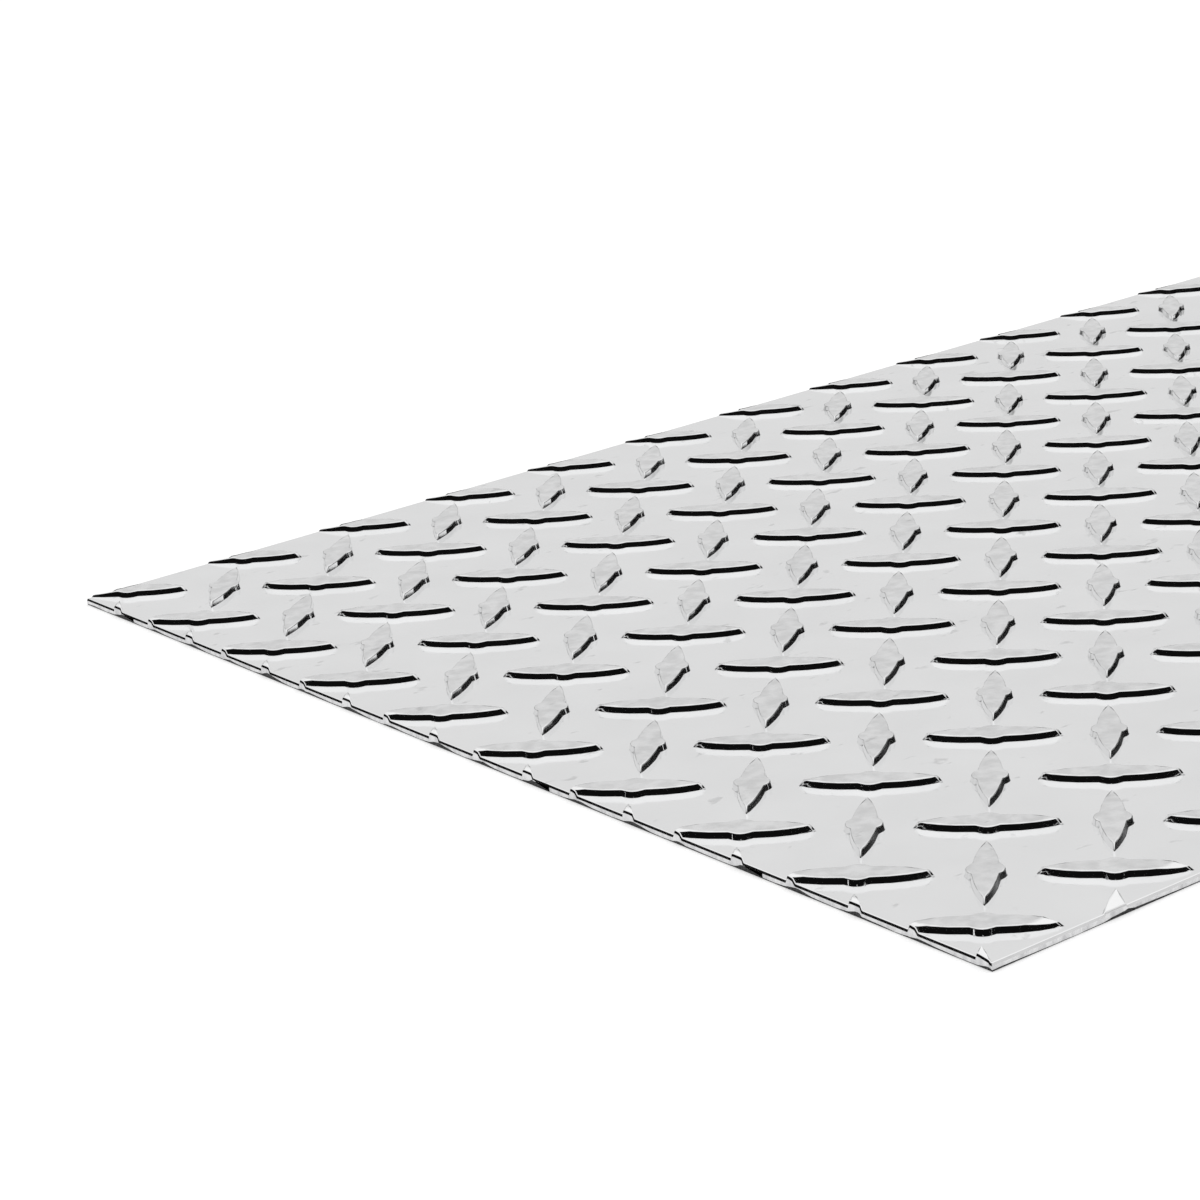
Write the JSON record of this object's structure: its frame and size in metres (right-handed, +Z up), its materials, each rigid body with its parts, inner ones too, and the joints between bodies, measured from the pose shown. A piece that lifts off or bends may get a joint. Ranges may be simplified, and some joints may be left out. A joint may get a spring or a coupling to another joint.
{
  "type": "aluminium tread plate",
  "caption": "Flat rolled aluminium sheet with a plain underside and a slip-resistant tread of raised, pointed lugs set crosswise on its top face.",
  "frame": {"origin": "centre of the sheet's underside", "axes": "+X along the sheet's length, +Y across its width, +Z up through the lugs"},
  "size_m": [0.6096, 0.3048, 0.003],
  "materials": {
    "plate": "bright as rolled"
  },
  "bodies": {
    "root": {"tread_plate": "plate"}
  },
  "joints": []
}
